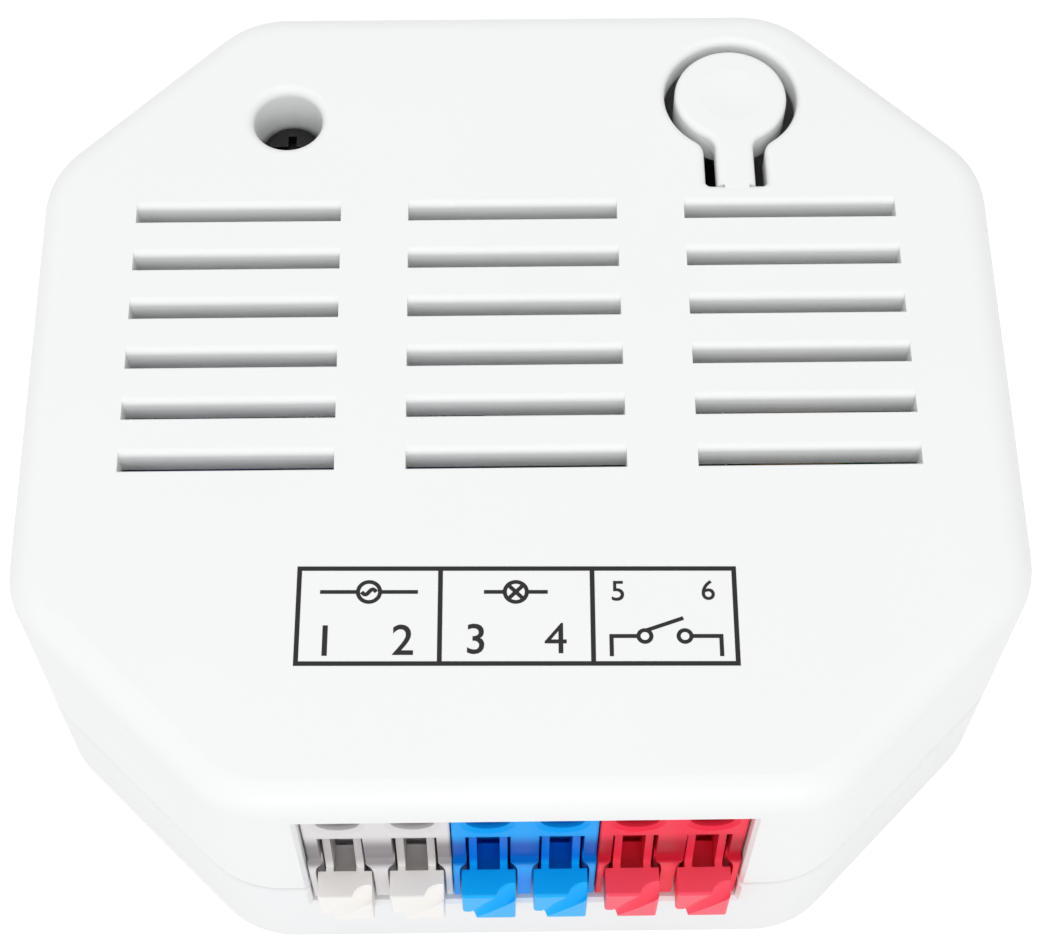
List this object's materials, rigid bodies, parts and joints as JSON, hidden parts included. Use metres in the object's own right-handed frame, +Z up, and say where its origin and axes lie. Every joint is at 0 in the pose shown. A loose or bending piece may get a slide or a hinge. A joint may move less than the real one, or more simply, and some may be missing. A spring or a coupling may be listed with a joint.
{
  "type": "in-wall relay switch module",
  "caption": "Eight-sided in-wall relay module with a press button, a screw well, vent slots and lever wire terminals.",
  "frame": {"origin": "centre of the flat underside of the case", "axes": "+X right seen from the terminals, +Y from the terminals to the button side, +Z up through the vented top"},
  "size_m": [0.049, 0.0465, 0.0195],
  "materials": {
    "cover_plastic": "fine satin moulding",
    "tray_plastic": "fine satin moulding",
    "button_plastic": "fine satin moulding",
    "terminal_grey": "satin",
    "terminal_blue": "satin",
    "terminal_red": "satin",
    "lever_white": "satin",
    "lever_blue": "satin",
    "lever_red": "satin",
    "screw_black": "black zinc",
    "board_green": "solder mask",
    "tinned_brass": "tinned",
    "spring_steel": "bright",
    "relay_blue": "satin",
    "relay_black": "satin",
    "soft_iron": "satin",
    "winding_copper": "varnished",
    "winding_tape": "film tape",
    "ferrite": "sintered",
    "capacitor_yellow": "moulded box",
    "capacitor_sleeve": "shrink sleeve",
    "varistor_coat": "dipped coat",
    "component_black": "moulded",
    "shield_tin": "tinned",
    "lamp_lens": "clear"
  },
  "bodies": {
    "case": {"top_cover": "cover_plastic", "base_tray": "tray_plastic", "tact_switch": "component_black", "case_screw": "screw_black", "circuit_board": "board_green", "relay_case": "relay_blue", "relay_base": "relay_black", "relay_coil": "winding_copper", "relay_yoke": "soft_iron", "relay_pins": "tinned_brass", "transformer_core": "ferrite", "transformer_winding": "winding_tape", "transformer_pins": "tinned_brass", "mains_capacitor": "capacitor_yellow", "bulk_capacitor": "capacitor_sleeve", "output_capacitor": "capacitor_sleeve", "varistor": "varistor_coat", "fuse": "component_black", "choke": "ferrite", "rectifier": "component_black", "optocoupler": "component_black", "radio_board": "board_green", "radio_shield": "shield_tin", "radio_headers": "component_black", "status_led": "lamp_lens", "thermistor": "varistor_coat", "terminal_left": "terminal_grey", "terminal_centre": "terminal_blue", "terminal_right": "terminal_red", "contact_bars_left": "tinned_brass", "clamp_springs_left": "spring_steel", "contact_bars_centre": "tinned_brass", "clamp_springs_centre": "spring_steel", "contact_bars_right": "tinned_brass", "clamp_springs_right": "spring_steel"},
    "button": {"press_button": "button_plastic"},
    "plunger": {"tact_plunger": "component_black"},
    "armature": {"relay_armature": "soft_iron"},
    "lever_1": {"lever_1": "lever_white"},
    "lever_2": {"lever_2": "lever_white"},
    "lever_3": {"lever_3": "lever_blue"},
    "lever_4": {"lever_4": "lever_blue"},
    "lever_5": {"lever_5": "lever_red"},
    "lever_6": {"lever_6": "lever_red"}
  },
  "joints": [
    {"name": "button_press", "type": "hinge", "parent": "case", "child": "button", "pos_m": [0.01145, 0.0111, 0.0185], "axis": [-1, 0, 0], "range_deg": [0, 2.5], "stiffness_Nm_per_rad": 0.1},
    {"name": "plunger_slide", "type": "slide", "parent": "case", "child": "plunger", "axis": [0, 0, -1], "range_m": [0, 0.00026]},
    {"name": "armature_tilt", "type": "hinge", "parent": "case", "child": "armature", "pos_m": [-0.00615, -0.0049, 0.0071], "axis": [0, -1, 0], "range_deg": [0, 4.5], "stiffness_Nm_per_rad": 0.02},
    {"name": "lever_1_swing", "type": "hinge", "parent": "case", "child": "lever_1", "pos_m": [-0.00875, -0.02105, 0.013], "axis": [-1, 0, 0], "range_deg": [0, 70]},
    {"name": "lever_2_swing", "type": "hinge", "parent": "case", "child": "lever_2", "pos_m": [-0.00525, -0.02105, 0.013], "axis": [-1, 0, 0], "range_deg": [0, 70]},
    {"name": "lever_3_swing", "type": "hinge", "parent": "case", "child": "lever_3", "pos_m": [-0.00175, -0.02105, 0.013], "axis": [-1, 0, 0], "range_deg": [0, 70]},
    {"name": "lever_4_swing", "type": "hinge", "parent": "case", "child": "lever_4", "pos_m": [0.00175, -0.02105, 0.013], "axis": [-1, 0, 0], "range_deg": [0, 70]},
    {"name": "lever_5_swing", "type": "hinge", "parent": "case", "child": "lever_5", "pos_m": [0.00525, -0.02105, 0.013], "axis": [-1, 0, 0], "range_deg": [0, 70]},
    {"name": "lever_6_swing", "type": "hinge", "parent": "case", "child": "lever_6", "pos_m": [0.00875, -0.02105, 0.013], "axis": [-1, 0, 0], "range_deg": [0, 70]}
  ],
  "couplings": [
    {"joint": "plunger_slide", "follows": "button_press", "m_per_rad": 0.00575}
  ]
}
